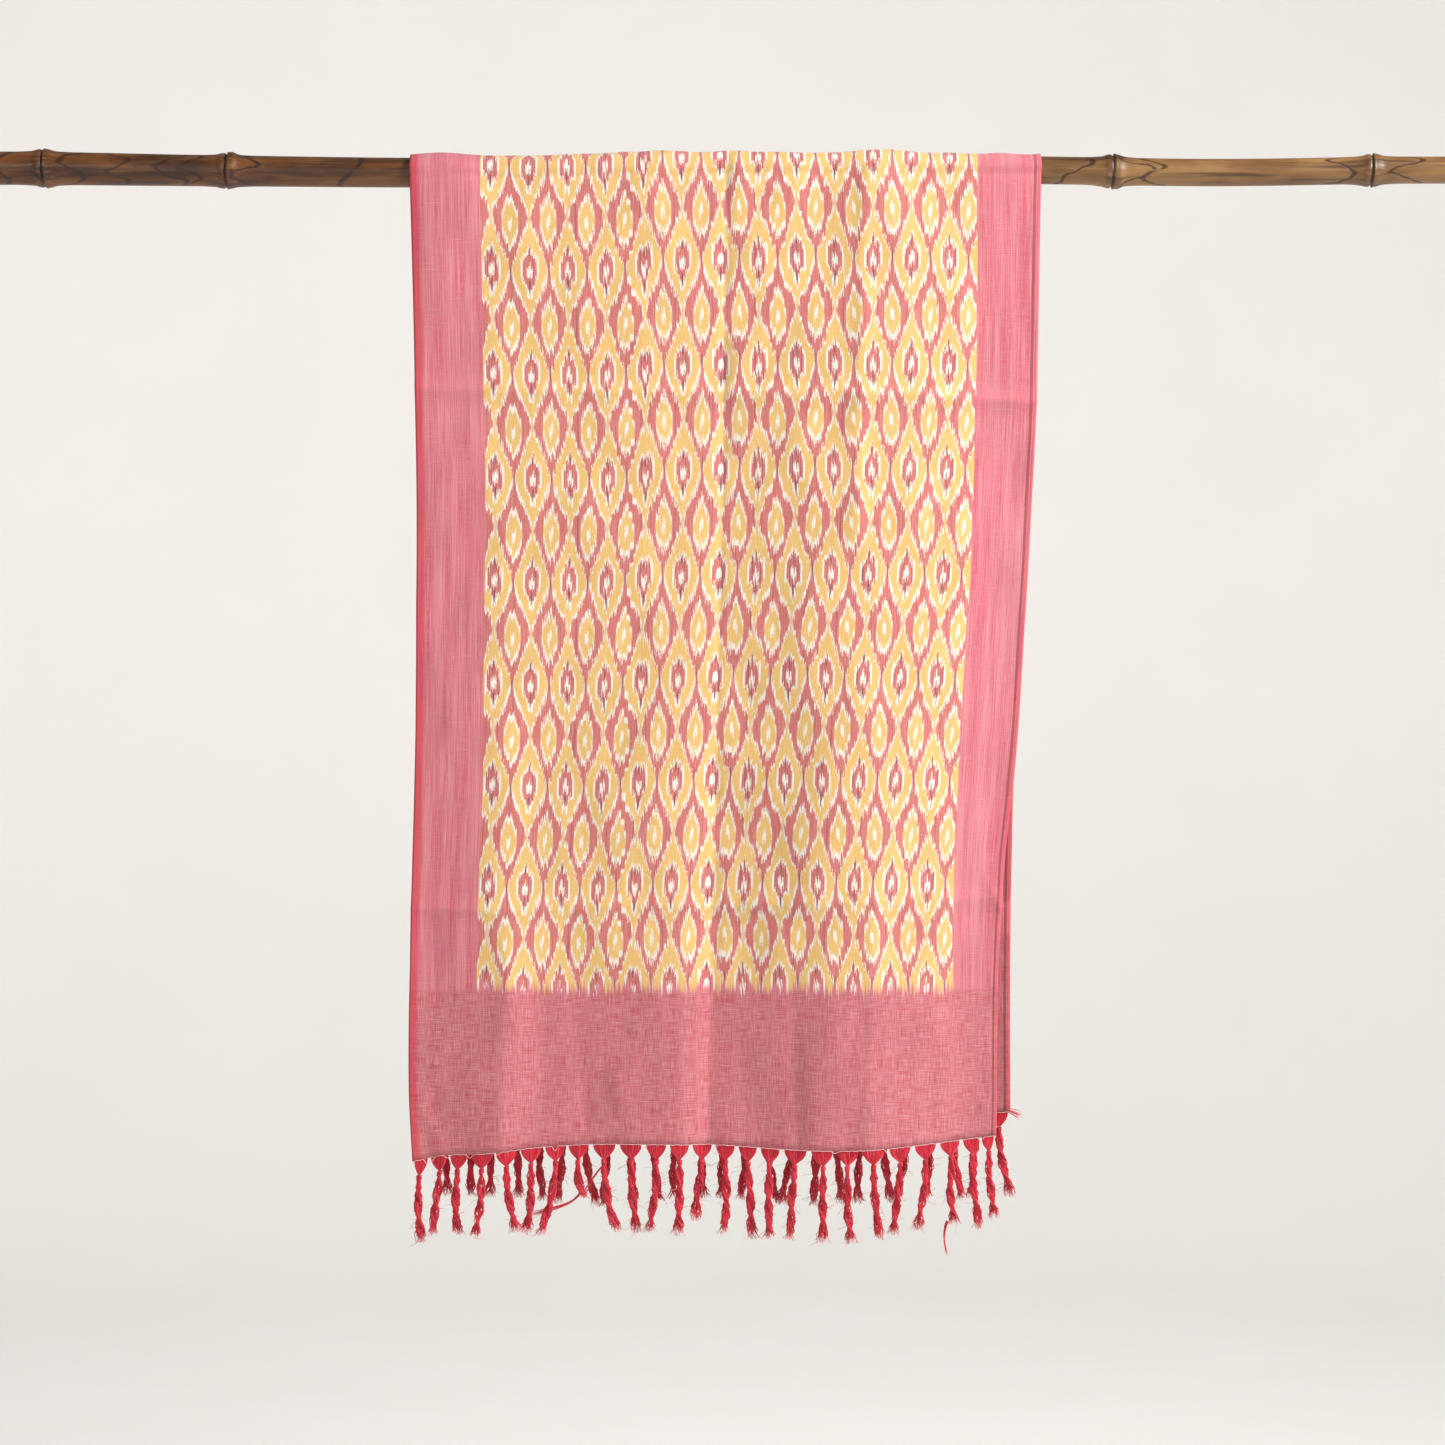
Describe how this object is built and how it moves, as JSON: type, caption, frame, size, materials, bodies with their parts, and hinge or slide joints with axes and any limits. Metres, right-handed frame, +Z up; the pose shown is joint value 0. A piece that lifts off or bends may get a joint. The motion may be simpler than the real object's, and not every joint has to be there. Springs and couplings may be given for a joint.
{
  "type": "stole on a bamboo pole",
  "caption": "Handwoven ikat cotton stole with knotted tassel fringes at both ends, folded over a level bamboo pole.",
  "frame": {"origin": "middle of the pole's axis, where the pole is held and the stole hangs from it", "axes": "+X along the pole to the viewer's right, +Y away from the viewer, towards the back fall, +Z up"},
  "size_m": [1.4, 0.0716, 0.9703],
  "materials": {
    "ikat_cotton": "matt handwoven cotton",
    "tassel_yarn": "soft loose cotton yarn",
    "bamboo": "dry smoked bamboo skin, satin"
  },
  "bodies": {
    "root": {"bamboo_pole": "bamboo", "cloth_front_fall": "ikat_cotton", "cloth_over_pole": "ikat_cotton", "cloth_back_fall": "ikat_cotton", "fringe_front": "tassel_yarn", "fringe_back": "tassel_yarn"}
  },
  "joints": []
}
